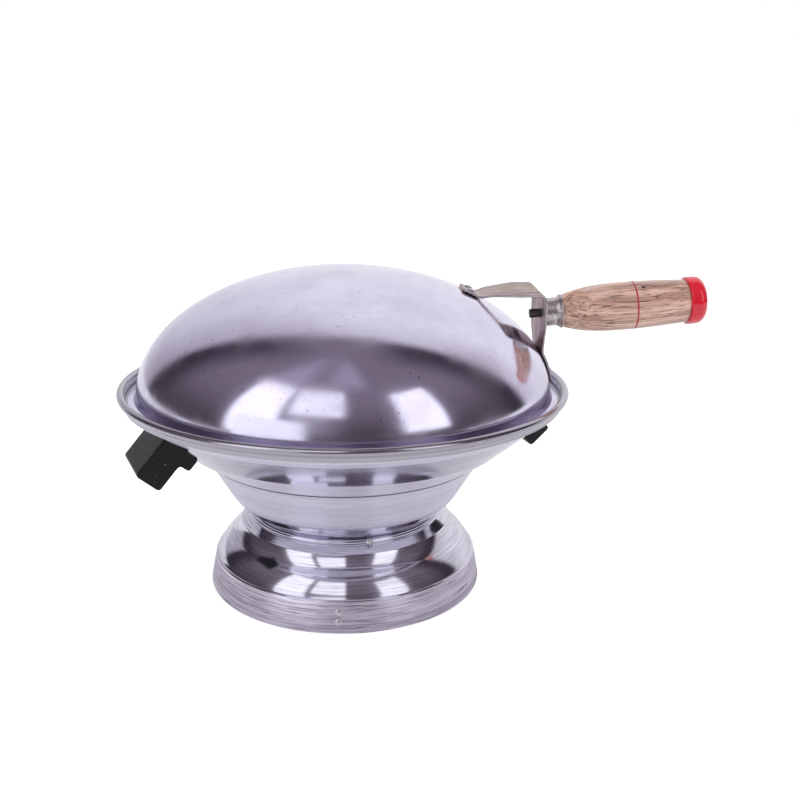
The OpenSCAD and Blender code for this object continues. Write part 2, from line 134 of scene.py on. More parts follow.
facing = add(
    tree, "VectorMath", {0: direction, 1: (0.174, 0.985, 0.28)}, operation="DOT_PRODUCT"
).node.outputs["Value"]
backdrop = ramp(tree, facing, 0.46, 0.56)
room = blend(tree, ramp(tree, height, 0.05, 0.8), (0.085, 0.068, 0.08), (0.21, 0.175, 0.21))
aside = ramp(tree, maths(tree, "ABSOLUTE", across), 0.08, 0.42)
corner = maths(tree, "MULTIPLY", aside, ramp(tree, facing, 0.12, 0.44))
room = blend(tree, corner, room, (0.045, 0.034, 0.048))
sheen = blend(tree, ramp(tree, across, -0.85, 0.10), (0.56, 0.55, 0.60), (0.93, 0.93, 0.95))
haze = maths(tree, "SUBTRACT", 1.0, ramp(tree, facing, 0.50, 0.84))
sheen = blend(tree, maths(tree, "MULTIPLY", haze, 0.42), sheen, (0.34, 0.28, 0.32))
lit = blend(tree, backdrop, room, sheen)
streak = maths(tree, "MULTIPLY", window(-62, -34, 56, 84, 9), 0.45)
lit = blend(tree, streak, lit, (0.62, 0.60, 0.78))
streak = maths(tree, "MULTIPLY", window(-14, 18, 58, 84, 9), 0.40)
lit = blend(tree, streak, lit, (0.62, 0.59, 0.74))
lit = blend(tree, window(-124, -117, -10, 35, 2.5), lit, (0.04, 0.035, 0.045))
glow = maths(tree, "MAXIMUM", window(-66, -6, 4, 56, 11), window(28, 56, 6, 50, 11))
lit = blend(tree, maths(tree, "MULTIPLY", glow, 0.30), lit, (0.75, 0.75, 0.85))
lit = blend(tree, window(-65, -37, 0, 54, 2.2), lit, (1.35, 1.35, 1.40))
lit = blend(tree, window(-60, -21, -4, 20, 2.2), lit, (1.15, 1.15, 1.22))
lit = blend(tree, window(-32, -1, 28, 54, 1.6), lit, (1.25, 1.25, 1.30))
lit = blend(tree, window(31, 56, 5, 49, 2.2), lit, (1.30, 1.30, 1.35))
soft_light = blend(tree, ramp(tree, height, -0.3, 0.8), (0.55, 0.54, 0.57), (1.0, 1.0, 1.02))
paths = tree.nodes.new("ShaderNodeLightPath")
seen = blend(tree, paths.outputs["Is Glossy Ray"], soft_light, lit)
seen = blend(tree, paths.outputs["Is Camera Ray"], seen, (1.0, 1.0, 1.0))
background = add(tree, "Background", {"Color": seen, "Strength": 1.0})
add(tree, "OutputWorld", {"Surface": background})


def material(name):
    made = bpy.data.materials.new(name)
    made.use_nodes = True
    made.node_tree.nodes.clear()
    return made, made.node_tree


def surface(tree, **inputs):
    """A Principled surface. Sockets are named with _ for a space."""
    values = {key.replace("_", " "): value for key, value in inputs.items()}
    for key, value in values.items():
        if isinstance(value, tuple) and len(value) == 3:
            values[key] = (*value, 1)
    shader = add(tree, "BsdfPrincipled", values)
    add(tree, "OutputMaterial", {"Surface": shader})
    return shader.node


white, tree = material("white_table")
grain = add(tree, "TexNoise", {"Vector": add(tree, "TexCoord").node.outputs["Object"], "Scale": 4.0})
tone = blend(tree, grain, (0.80, 0.80, 0.81), (0.83, 0.83, 0.83))
lamp = tree.nodes.new("ShaderNodeLightPath")
own_light = maths(tree, "ADD", 0.12, maths(tree, "MULTIPLY", lamp.outputs["Is Camera Ray"], 0.62))
surface(
    tree,
    Base_Color=tone,
    Roughness=0.9,
    Specular_IOR_Level=0.0,
    Emission_Color=tone,
    Emission_Strength=own_light,
)
table_mesh = bpy.data.meshes.new("table")
table_mesh.from_pydata(
    [(-3, -1.3, 0), (3, -1.3, 0), (3, 3, 0), (-3, 3, 0)], [], [(0, 1, 2, 3)]
)
table_mesh.materials.append(white)
table = bpy.data.objects.new("table", table_mesh)
scene.collection.objects.link(table)


# ---- Pedestal ----
# The oven's foot, spun from one aluminium disc: a turned foot band, a polished shoulder
# and collar, and a rolled bead round the neck that the bowl's spigot is screwed into.
MM = 0.001


def turned(v):
    """v turned a quarter turn to its left."""
    return Vector((-v.y, v.x))


def arc(a, b, rise, steps):
    """Points from a to b on an arc that bows by rise to the right of the way there."""
    a = Vector(a)
    b = Vector(b)
    half = (b - a).length / 2
    radius = (half * half + rise * rise) / (2 * rise)
    centre = (a + b) / 2 + (radius - rise) * turned((b - a).normalized())
    spread = 2 * math.asin(max(-1, min(1, half / radius)))
    start = math.atan2(a.y - centre.y, a.x - centre.x)
    points = []
    for i in range(steps + 1):
        angle = start + spread * i / steps
        points.append(centre + abs(radius) * Vector((math.cos(angle), math.sin(angle))))
    return points


def rounded(path, radius, closed=False, steps=4):
    """The path with each corner of more than 12 degrees rounded off."""
    path = [Vector(p) for p in path]
    count = len(path)
    result = []
    for i in range(count):
        if not closed and i in (0, count - 1):
            result.append(path[i])
            continue
        before = path[i - 1] - path[i]
        after = path[(i + 1) % count] - path[i]
        turn = math.pi - before.angle(after)
        if turn < math.radians(12):
            result.append(path[i])
            continue
        reach = min(radius * math.tan(turn / 2), before.length * 0.45, after.length * 0.45)
        first = path[i] + before.normalized() * reach
        last = path[i] + after.normalized() * reach
        for k in range(steps + 1):
            t = k / steps
            result.append(
                (1 - t) ** 2 * first + 2 * t * (1 - t) * path[i] + t**2 * last
            )
    return result


def shifted(path, distance):
    """The path moved to its left by distance."""
    result = []
    for i, point in enumerate(path):
        sides = []
        if i > 0:
            sides.append(turned((path[i] - path[i - 1]).normalized()))
        if i < len(path) - 1:
            sides.append(turned((path[i + 1] - path[i]).normalized()))
        side = sides[0] if len(sides) == 1 else (sides[0] + sides[1]) / (1 + sides[0].dot(sides[1]))
        result.append(point + distance * side)
    return result


def make_piece(name, points, faces, finishes, indices, body, replaces, place, sharp=38):
    """One finished piece. Edges bent by more than sharp degrees stay crisp."""
    mesh = bpy.data.meshes.new(name)
    mesh.from_pydata(points, [], faces)
    for finish in finishes:
        mesh.materials.append(finish)
    for face, index in zip(mesh.polygons, indices):
        face.material_index = index
        face.use_smooth = True
    mesh.validate()
    mesh.set_sharp_from_angle(angle=math.radians(sharp))
    piece = bpy.data.objects.new(name, mesh)
    scene.collection.objects.link(piece)
    piece.matrix_world = place
    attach(piece, body)
    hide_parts(*replaces)
    return piece


def spin(outline, turns=240, closed=True):
    """Points and faces of an outline of (radius, height), in millimetres, spun round Z."""
    count = len(outline)
    points = []
    for k in range(turns):
        angle = 2 * math.pi * k / turns
        for r, z in outline:
            points.append((r * math.cos(angle) * MM, r * math.sin(angle) * MM, z * MM))
    faces = []
    segments = []
    for k in range(turns):
        a = k * count
        b = (k + 1) % turns * count
        for i in range(count if closed else count - 1):
            j = (i + 1) % count
            if outline[i][0] < 1e-6 and outline[j][0] < 1e-6:
                continue
            if outline[i][0] < 1e-6:
                faces.append((a + i, b + j, a + j))
            elif outline[j][0] < 1e-6:
                faces.append((a + i, b + i, a + j))
            else:
                faces.append((a + i, b + i, b + j, a + j))
            segments.append(i)
    return points, faces, segments


def lathe(name, outline, finishes, body, replaces, zone=None, place=Matrix(), turns=240):
    """A spun piece. zone tells which finish each part of the outline has."""
    points, faces, segments = spin([tuple(p) for p in outline], turns)
    indices = []
    for i in segments:
        middle = (Vector(outline[i]) + Vector(outline[(i + 1) % len(outline)])) / 2
        indices.append(zone(i, middle.x, middle.y) if zone else 0)
    return make_piece(name, points, faces, finishes, indices, body, replaces, place)


def group(name, outputs, inputs=()):
    """A new node group, with its inner input sockets and its inner output sockets."""
    made = bpy.data.node_groups.new(name, "ShaderNodeTree")
    for label, default in inputs:
        socket = made.interface.new_socket(label, in_out="INPUT", socket_type="NodeSocketFloat")
        socket.default_value = default
    for label in outputs:
        made.interface.new_socket(label, in_out="OUTPUT", socket_type="NodeSocketFloat")
    start = made.nodes.new("NodeGroupInput")
    return made, start.outputs, made.nodes.new("NodeGroupOutput").inputs


def use(tree, made, inputs=()):
    """A group placed in a material, with the values it has there."""
    node = tree.nodes.new("ShaderNodeGroup")
    node.node_tree = made
    for key, value in dict(inputs).items():
        node.inputs[key].default_value = value
    return node.outputs


# Fine lines that a tool leaves as the piece turns: they run round Z.
line_kinds = {
    "Fine": (2600.0, 0.8),
    "Broad": (900.0, 0.35),
    "Bands": (160.0, 0.1),
    "Strokes": (2300.0, 4.5),
}
turning_lines, given, result = group("turning_lines", list(line_kinds), [("Pitch", 1.0)])
tree = turning_lines
place = add(tree, "SeparateXYZ", {0: add(tree, "TexCoord").node.outputs["Object"]}).node.outputs
squares = maths(tree, "ADD", maths(tree, "POWER", place[0], 2.0), maths(tree, "POWER", place[1], 2.0))
radius = maths(tree, "SQRT", squares)
around = maths(tree, "ARCTAN2", place[1], place[0])
for label, (pitch, along) in line_kinds.items():
    scale = maths(tree, "MULTIPLY", given[0], pitch)
    spot = add(
        tree,
        "CombineXYZ",
        {
            0: maths(tree, "MULTIPLY", radius, scale),
            1: maths(tree, "MULTIPLY", place[2], scale),
            2: maths(tree, "MULTIPLY", around, along),
        },
    )
    noise = add(tree, "TexNoise", {"Vector": spot, "Scale": 1.0, "Detail": 2.0})
    tree.links.new(noise, result[label])

# Large soft smudges, and small specks and pits.
wear, given, result = group("wear", ["Cloud", "Specks", "Waves"])
tree = wear
spot = add(tree, "TexCoord").node.outputs["Object"]
cloud = add(tree, "TexNoise", {"Vector": spot, "Scale": 22.0, "Detail": 6.0, "Roughness": 0.62})
tree.links.new(ramp(tree, cloud, 0.36, 0.68), result["Cloud"])
specks = add(tree, "TexNoise", {"Vector": spot, "Scale": 520.0, "Detail": 1.0})
sparse = add(tree, "TexNoise", {"Vector": spot, "Scale": 60.0, "Detail": 1.0})
speck = maths(tree, "MULTIPLY", ramp(tree, specks, 0.70, 0.76), ramp(tree, sparse, 0.45, 0.7))
tree.links.new(speck, result["Specks"])
tree.links.new(add(tree, "TexNoise", {"Vector": spot, "Scale": 9.0, "Detail": 1.0}), result["Waves"])


def turned_metal(name, colour, dark, rough, line_depth, stretch, pitch=1.0, chatter=0.0):
    """Aluminium as the lathe leaves it: colour and roughness change a little from line to line.

    chatter is how much the tool's short dark and pale strokes show.
    """
    wave_depth = 0.0006
    dirt = 0.25
    made, tree = material(name)
    lines = use(tree, turning_lines, {"Pitch": pitch})
    marks = use(tree, wear)
    narrow = maths(tree, "MULTIPLY", ramp(tree, lines["Broad"], 0.3, 0.7), 0.55)
    wide = maths(tree, "MULTIPLY", ramp(tree, lines["Bands"], 0.3, 0.7), 0.45)
    shade = maths(tree, "ADD", narrow, wide)
    tone = blend(tree, shade, dark, colour)
    smudged = tuple(0.82 * c for c in colour)
    tone = blend(tree, maths(tree, "MULTIPLY", marks["Cloud"], dirt), tone, smudged)
    tone = blend(tree, maths(tree, "MULTIPLY", marks["Specks"], 0.55), tone, (0.12, 0.10, 0.11))
    if chatter:
        deep = maths(tree, "MULTIPLY", ramp(tree, lines["Strokes"], 0.53, 0.66), chatter)
        tone = blend(tree, deep, tone, (0.10, 0.085, 0.12))
        raised = maths(tree, "MULTIPLY", ramp(tree, lines["Strokes"], 0.30, 0.45), -chatter)
        pale = maths(tree, "ADD", raised, chatter)
        tone = blend(tree, pale, tone, (0.93, 0.86, 0.96))
    gloss = maths(tree, "ADD", maths(tree, "MULTIPLY", marks["Cloud"], 0.05), rough)
    gloss = maths(tree, "ADD", gloss, maths(tree, "MULTIPLY", lines["Fine"], rough * 0.3))
    wave = add(tree, "Bump", {"Height": marks["Waves"], "Strength": 1.0, "Distance": wave_depth})
    bump = add(
        tree,
        "Bump",
        {"Height": lines["Fine"], "Normal": wave, "Strength": 1.0, "Distance": line_depth},
    )
    flow = add(tree, "Tangent", direction_type="RADIAL", axis="Z")
    surface(
        tree,
        Base_Color=tone,
        Metallic=1.0,
        Roughness=gloss,
        Anisotropic=stretch,
        Anisotropic_Rotation=0.25,
        Tangent=flow,
        Normal=bump,
    )
    return made


foot_band_metal = turned_metal(
    "foot_band_metal", (0.92, 0.86, 0.98), (0.46, 0.41, 0.52), 0.28, 0.00004, 0.6, 0.8, chatter=0.7
)
polished_metal = turned_metal(
    "polished_metal", (0.78, 0.77, 0.87), (0.60, 0.58, 0.68), 0.07, 0.000006, 0.5, chatter=0.35
)
inside_metal = turned_metal(
    "inside_metal", (0.58, 0.56, 0.63), (0.30, 0.28, 0.33), 0.24, 0.00001, 0.4
)
sheet_t = 1.5
foot_r = 107
ridge = Vector((102.6, 22.8))
neck_r = 74.2
bead_z = 55.8
bead_roll = 1.7
skirt = rounded([(foot_r - 4, 0), (foot_r, 0), ridge], 0.8)[:-1]
ridge_bead = [ridge + Vector(step) for step in ((0, 0), (-0.9, 0.7), (-1.5, 0.9), (-1.9, 1.7))]
under_bead = Vector((neck_r + 1.2, bead_z - 2.6))
shoulder = arc((ridge.x - 2.2, ridge.y + 2.2), (89.1, 39.3), 1, 24)
collar = arc((88.0, 40.4), (82, 49.6), -0.5, 16)
bead = arc((neck_r, bead_z - bead_roll), (neck_r, bead_z + bead_roll), bead_roll - 0.05, 20)
outside = skirt + ridge_bead + shoulder + [Vector((88.3, 40.1))] + collar
outside = rounded(outside + [Vector((81.3, 49.9)), under_bead], 0.5, steps=3) + bead
plain = skirt + [ridge] + shoulder + [Vector((88.5, 40.0))] + collar + [under_bead]
plain = plain + [Vector((neck_r, bead_z - bead_roll)), Vector((neck_r, bead_z + bead_roll))]
outline = outside + shifted(plain, sheet_t)[::-1]
edge = len(outside)
pedestal = lathe(
    "pedestal",
    outline,
    [foot_band_metal, polished_metal, inside_metal],
    "oven",
    ["base_pedestal"],
    lambda i, r, z: 2 if i >= edge else 0 if z < ridge.y - 0.2 else 1,
    turns=288,
)


# ---- Stove rests ----
# Three bent brackets inside the foot, each on two rivets through the foot band. They keep
# the oven on the bars over a burner.
def strip(points, across, width, thick, end_round, steps=4):
    """Points and faces of a band with rounded edges along points, in millimetres."""
    section = []
    edge = min(0.45 * thick, 0.7)
    for cx, cy, start in ((1, 1, 0), (-1, 1, 90), (-1, -1, 180), (1, -1, 270)):
        for k in range(steps + 1):
            angle = math.radians(start + 90 * k / steps)
            section.append(
                (
                    cx * 0.5 * width + edge * (math.cos(angle) - cx),
                    cy * 0.5 * thick + edge * (math.sin(angle) - cy),
                )
            )
    count = len(section)
    lengths = [0.0]
    for a, b in zip(points, points[1:]):
        lengths.append(lengths[-1] + (b - a).length)
    whole = lengths[-1]
    made = []
    for i, point in enumerate(points):
        along = (points[min(i + 1, len(points) - 1)] - points[max(i - 1, 0)]).normalized()
        side = across[i].normalized()
        up = side.cross(along).normalized()
        short = min(lengths[i], whole - lengths[i])
        lost = 0.0
        if short < end_round:
            lost = end_round - math.sqrt(max(0.0, end_round**2 - (end_round - short) ** 2))
        scale = 1 - 2 * lost / width
        for x, y in section:
            made.append((point + side * x * scale + up * y) * MM)
    faces = []
    for i in range(len(points) - 1):
        for k in range(count):
            j = (k + 1) % count
            faces.append((i * count + k, i * count + j, (i + 1) * count + j, (i + 1) * count + k))
    faces.append(tuple(range(count - 1, -1, -1)))
    last = (len(points) - 1) * count
    faces.append(tuple(range(last, last + count)))
    return made, faces


def even(path, step):
    """Points along a path, no more than step apart."""
    result = [path[0]]
    for a, b in zip(path, path[1:]):
        parts = max(1, math.ceil((b - a).length / step))
        for k in range(1, parts + 1):
            result.append(a + (b - a) * k / parts)
    return result


def bent_strip(name, path, width, thick, finish, body, replaces, place):
    """A strip bent along a path of (x, z), with its thickness on the path's right."""
    middle = shifted(rounded(path, 3.0, steps=6), -thick / 2)
    points = [Vector((p.x, 0, p.y)) for p in middle]
    end_step = 0.4
    first = points[0] + (points[1] - points[0]).normalized() * end_step
    last = points[-1] + (points[-2] - points[-1]).normalized() * end_step
    points = [points[0], first] + even(points[1:-1], 3.0) + [last, points[-1]]
    made, faces = strip(points, [Vector((0, 1, 0))] * len(points), width, thick, 0.6)
    return make_piece(name, made, faces, [finish], [0] * len(faces), body, replaces, place)


def joined(parts):
    """Points and faces of several meshes as one."""
    points = []
    faces = []
    for part_points, part_faces in parts:
        start = len(points)
        points.extend(part_points)
        faces.extend(tuple(i + start for i in face) for face in part_faces)
    return points, faces


def rivet(grip, place, radius=2.0, head_r=2.9, head_h=1.2):
    """A domed head at the origin and a tail that is set at -grip, along Z of place."""
    tail = -grip - head_h * 0.8
    outline = [(0, tail), (head_r - 0.5, tail), (head_r - 0.3, -grip - 0.6)]
    outline = outline + [(radius, -grip), (radius, 0), (head_r - 0.1, 0.0)]
    for k in range(9):
        angle = math.pi / 2 * k / 8
        outline.append((head_r * math.cos(angle), 0.08 + (head_h - 0.08) * math.sin(angle)))
    outline[-1] = (0, head_h)
    points, faces, _ = spin(outline, 32, closed=False)
    return [place @ Vector(p) for p in points], faces


def worn_metal(name, colour, dark, rough, scratch=(1.0, 1.0, 1.0), scratch_depth=0.00002, streak=0.5):
    """Sheet aluminium that has been handled and heated: stains, long scratches and pits."""
    made, tree = material(name)
    marks = use(tree, wear)
    spot = add(tree, "TexCoord").node.outputs["Object"]
    long_spot = add(tree, "VectorMath", {0: spot, 1: scratch}, operation="MULTIPLY")
    fine = add(tree, "TexNoise", {"Vector": long_spot, "Scale": 900.0, "Detail": 3.0})
    scratches = add(
        tree,
        "TexNoise",
        {"Vector": long_spot, "Scale": 260.0, "Detail": 5.0, "Roughness": 0.7},
    )
    line = ramp(tree, scratches, 0.34, 0.66)
    tone = blend(tree, maths(tree, "MULTIPLY", line, streak), colour, dark)
    tone = blend(tree, maths(tree, "MULTIPLY", marks["Cloud"], 0.4), tone, dark)
    tone = blend(tree, maths(tree, "MULTIPLY", marks["Specks"], 0.8), tone, (0.08, 0.06, 0.06))
    gloss = maths(tree, "ADD", rough, maths(tree, "MULTIPLY", fine, 0.12))
    bump = add(tree, "Bump", {"Height": fine, "Strength": 1.0, "Distance": scratch_depth})
    surface(tree, Base_Color=tone, Metallic=1.0, Roughness=gloss, Normal=bump)
    return made


bracket_metal = worn_metal(
    "bracket_metal", (0.62, 0.60, 0.64), (0.40, 0.37, 0.38), 0.34, (1.0, 1.0, 0.2)
)
rivet_metal = worn_metal("rivet_metal", (0.74, 0.72, 0.78), (0.52, 0.48, 0.50), 0.25)
band_slope = math.atan((foot_r - ridge.x) / ridge.y)


def band_r(z):
    """The foot band's outer radius at a height, in millimetres."""
    return foot_r - z * math.tan(band_slope)


rest_top = 19
rest_floor = 2.6
rest_gap = 0.6
rest_reach = 17
rest_path = [
    (band_r(rest_top) - sheet_t - rest_gap, rest_top),
    (band_r(rest_floor) - sheet_t - rest_gap, rest_floor),
    (band_r(rest_top) - sheet_t - rest_reach, rest_floor),
]
rest_rivets = []
for number, angle in enumerate((-93, 27, 147)):
    turn = Matrix.Rotation(math.radians(angle), 4, "Z")
    bent_strip(
        "stove_rest_%d.visual" % (number + 1),
        rest_path,
        20,
        2,
        bracket_metal,
        "oven",
        ["stove_rest_%d" % (number + 1)],
        turn,
    )
    for z in (8.5, 15.5):
        seat = (
            turn
            @ Matrix.Translation((band_r(z) * MM + 0.0001, 0, z * MM))
            @ Matrix.Rotation(math.pi / 2 - band_slope, 4, "Y")
        )
        rest_rivets.append(rivet(4.7, seat))
points, faces = joined(rest_rivets)
make_piece(
    "stove_rest_rivets.visual",
    points,
    faces,
    [rivet_metal],
    [0] * len(faces),
    "oven",
    ["stove_rest_rivets"],
    Matrix(),
)

# ---- Bowl ----
# Spun aluminium with a wired rim, a ledge for the lid and a spigot that goes down into
# the pedestal's neck. Its outside is polished in some bands and left from the tool in others.
brushed_metal = turned_metal(
    "brushed_metal", (0.92, 0.89, 1.0), (0.78, 0.75, 0.88), 0.33, 0.00002, 0.7, chatter=0.18
)
bright_band_metal = turned_metal(
    "bright_band_metal", (0.94, 0.91, 1.0), (0.82, 0.79, 0.90), 0.36, 0.00002, 0.7, chatter=0.1
)
rim_metal = turned_metal("rim_metal", (0.62, 0.60, 0.67), (0.22, 0.20, 0.24), 0.12, 0.00001, 0.4)
# The small step under the bowl's crease is coloured near black: painted shade in the groove, not a
# finish of the metal.
groove_painted_shade, tree = material("groove_painted_shade_metal")
lines = use(tree, turning_lines)
surface(
    tree,
    Base_Color=blend(tree, lines["Broad"], (0.10, 0.09, 0.11), (0.20, 0.18, 0.22)),
    Metallic=1.0,
    Roughness=0.4,
)
spigot_r = 72.6
crease = Vector((123, 115))
wall_top = Vector((158, 145.8))
wall_slope = math.atan((wall_top.y - crease.y) / (wall_top.x - crease.x))
rim_middle = Vector((167.2, 156.8))
rim_roll = 2.8
rim_wall_r = 165.7
lower = [Vector((spigot_r, 45)), Vector((spigot_r, 57.5))] + arc((74.2, 59.4), (93, 80.5), 1.8, 24)
wall = arc((125, 116.8), wall_top, 0.5, 24)
ledge = [Vector((160, 149.5)), Vector((rim_wall_r, 149.5))]
bowl_path = lower + [Vector((107, 104)), crease] + wall + ledge + [Vector((rim_wall_r, 156.8))]
cut = [Vector((106.55, 103.25)), Vector((106.75, 104.2)), Vector((107.9, 104.6))]


def cut_at(outline, heights):
    """The outline with a point added at each of the heights, where the finish changes."""
    result = []
    for i, point in enumerate(outline):
        result.append(point)
        if i + 1 == len(outline):
            break
        after = outline[i + 1]
        crossings = []
        for z in heights:
            if (point.y - z) * (after.y - z) < 0:
                crossings.append((z - point.y) / (after.y - point.y))
        for t in sorted(crossings):
            result.append(point + (after - point) * t)
    return result


bowl_outside = rounded(lower + cut + [crease] + wall + ledge, 0.7)
bowl_outside = cut_at(bowl_outside, (72.5, 120, 141.7))
rim = []
for k in range(33):
    angle = math.radians(-122.4 + 302.4 * k / 32)
    rim.append(rim_middle + rim_roll * Vector((math.cos(angle), math.sin(angle))))
inner_wall_r = rim_wall_r - sheet_t
bowl_inside = shifted(rounded(bowl_path[:-1], 1.2), sheet_t)[::-1]
bowl_inside = [p for p in bowl_inside if p.x < inner_wall_r + 0.1]
inner_wall = [Vector((inner_wall_r, 156.0)), Vector((inner_wall_r, 151.4))]
outline = bowl_outside + rim + inner_wall + bowl_inside
edge = len(bowl_outside)


def bowl_zone(i, r, z):
    """Which finish the outline has there, or the groove's painted shade, as a number in the bowl's list
    of finishes.
    """
    if i >= edge + 32:
        return 3
    if i >= edge - 1:
        return 4
    # The step under the crease gets the near-black painted shade of the groove.
    if 103.2 < z < 104.7:
        return 5
    if z > 141.7:
        return 0
    if z > 120:
        return 1
    if z > 104:
        return 2
    if z > 72.5:
        return 0
    return 1


bowl = lathe(
    "bowl.visual",
    outline,
    [brushed_metal, polished_metal, bright_band_metal, inside_metal, rim_metal, groove_painted_shade],
    "oven",
    ["bowl"],
    bowl_zone,
    turns=320,
)

# ---- Neck screws and nuts ----
# Three slotted pan-head screws go through the bead and the spigot, with a hexagon nut
# on each inside.
plated = worn_metal("plated_steel", (0.72, 0.71, 0.73), (0.48, 0.46, 0.46), 0.22)


def plain_part(name, finish, edge):
    """A turned or pressed part that keeps its first shape, with its edges softened."""
    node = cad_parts[name]
    node.data.materials.clear()
    node.data.materials.append(finish)
    soft = node.modifiers.new("soft_edges", "BEVEL")
    soft.width = edge
    soft.segments = 2
    soft.limit_method = "ANGLE"
    soft.angle_limit = math.radians(40)


plain_part("neck_screws", plated, 0.00012)
plain_part("neck_nuts", plated, 0.00012)

# ---- Side handles ----
# Two blocks moulded in black bakelite, each with a lug below it. The backs are hollow
# to the curve of the bowl, and two screws from inside the bowl hold each of them.
def bowl_radius(z):
    """The bowl's outer radius at a height, in millimetres."""
    for a, b in zip(bowl_path, bowl_path[1:]):
        if a.y <= z <= b.y and b.y > a.y:
            return a.x + (b.x - a.x) * (z - a.y) / (b.y - a.y)
    return rim_wall_r


bakelite, tree = material("bakelite")
marks = use(tree, wear)
spot = add(tree, "TexCoord").node.outputs["Object"]
mottle = add(tree, "TexNoise", {"Vector": spot, "Scale": 420.0, "Detail": 3.0})
rub = maths(tree, "MULTIPLY", marks["Cloud"], 0.7)
tone = blend(tree, rub, (0.005, 0.005, 0.007), (0.014, 0.013, 0.016))
tone = blend(tree, maths(tree, "MULTIPLY", marks["Specks"], 0.7), tone, (0.22, 0.21, 0.22))
gloss = maths(tree, "ADD", 0.30, maths(tree, "MULTIPLY", mottle, 0.18))
pores = add(tree, "Bump", {"Height": mottle, "Strength": 1.0, "Distance": 0.00012})
surface(tree, Base_Color=tone, Roughness=gloss, Normal=pores, Specular_IOR_Level=0.28)

side_r = 137.5
side_z = crease.y + (side_r - crease.x) * math.tan(wall_slope)
out_of_wall = Vector((math.sin(wall_slope), -math.cos(wall_slope)))
up_wall = Vector((math.cos(wall_slope), math.sin(wall_slope)))


def wall_x(y, z):
    """How far out of the wall's middle plane the bowl is, at y across and z up the wall."""
    low = -14.0
    high = 14.0
    for _ in range(40):
        middle = (low + high) / 2
        spot = Vector((side_r, side_z)) + out_of_wall * middle + up_wall * z
        if math.hypot(spot.x, y) < bowl_radius(spot.y) + 0.2:
            low = middle
        else:
            high = middle
    return (low + high) / 2


def side_handle(name, angle, node):
    """A block swept sideways: its back follows the bowl and its ends are rolled over."""
    half = 10.5
    foot = -half - 8.5
    front = [Vector((31, half)), Vector((31, -half)), Vector((8, -half)), Vector((8, foot))]
    half_length = 25.0
    roll = 1.6
    ends = []
    for k in range(6):
        t = math.radians(90 * k / 5)
        ends.append((half_length - roll * (1 - math.cos(t)), roll * (1 - math.sin(t))))
    rows = [(-y, inset) for y, inset in ends]
    for k in range(1, 24):
        rows.append((-half_length + roll + (2 * half_length - 2 * roll) * k / 24, 0.0))
    rows = rows + ends[::-1]
    points = []
    turn = Matrix.Rotation(math.radians(angle), 4, "Z")
    for y, inset in rows:
        top_back = Vector((wall_x(y, half), half))
        low_back = Vector((wall_x(y, foot), foot))
        loop = rounded([top_back] + front + [low_back], 3.0, steps=6)[1:-1]
        clear = Vector((0.3, 0))
        loop = [top_back + clear] + loop + [low_back + clear]
        trimmed = shifted(loop, -inset)
        ring = []
        for i, point in enumerate(trimmed):
            if i in (0, len(trimmed) - 1):
                point = Vector((loop[i].x, point.y))
            ring.append(point)
        low_z = ring[-1].y
        high_z = ring[0].y
        for k in range(13):
            z = low_z + (high_z - low_z) * k / 12
            ring.append(Vector((wall_x(y, z), z)))
        count = len(ring)
        for p in ring:
            flat = Vector((side_r, side_z)) + out_of_wall * p.x + up_wall * p.y
            points.append(turn @ (Vector((flat.x, y, flat.y)) * MM))
    faces = []
    for i in range(len(rows) - 1):
        for k in range(count):
            j = (k + 1) % count
            faces.append((i * count + k, i * count + j, (i + 1) * count + j, (i + 1) * count + k))
    faces.append(tuple(range(count)))
    last = (len(rows) - 1) * count
    faces.append(tuple(range(last + count - 1, last - 1, -1)))
    return make_piece(
        name, points, faces, [bakelite], [0] * len(faces), "oven", [node], Matrix(), 50
    )


side_handle("side_handle_right.visual", 16, "side_handle_right")
side_handle("side_handle_left.visual", 201.5, "side_handle_left")
plain_part("side_handle_screws", plated, 0.00012)
plain_part("side_handle_washers", plated, 0.00012)

# ---- Flame spreader ----
# A heat-stained sheet disc with a turned-down lip, on three bent legs riveted under it.
# It stands in the bowl over the open neck.
stained = worn_metal("heat_stained_metal", (0.40, 0.36, 0.36), (0.20, 0.16, 0.14), 0.42)
disc_z = 84
disc_outside = rounded([(0, disc_z), (57, disc_z), (62, 78.5)], 4.0, steps=8)
disc_outline = disc_outside + shifted(disc_outside, -1.5)[::-1]
disc_outline[-1] = Vector((0, disc_z - 1.5))
disc_outline = [Vector((max(0.0, p.x), p.y)) for p in disc_outline]
lathe(
    "spreader_disc.visual",
    disc_outline,
    [stained],
    "spreader",
    ["spreader_disc"],
    turns=192,
)
leg_path = [(39, 82.5), (53, 82.5), (72, 67.8), (76, 66.6), (84.5, 73.8)]
spreader_rivets = []
for number, angle in enumerate((30, 150, 270)):
    turn = Matrix.Rotation(math.radians(angle), 4, "Z")
    bent_strip(
        "spreader_leg_%d.visual" % (number + 1),
        leg_path,
        14,
        1.5,
        stained,
        "spreader",
        ["spreader_leg_%d" % (number + 1)],
        turn,
    )
    spreader_rivets.append(rivet(3.0, turn @ Matrix.Translation((0.046, 0, disc_z * MM))))
points, faces = joined(spreader_rivets)
make_piece(
    "spreader_rivets.visual",
    points,
    faces,
    [rivet_metal],
    [0] * len(faces),
    "spreader",
    ["spreader_rivets"],
    Matrix(),
)


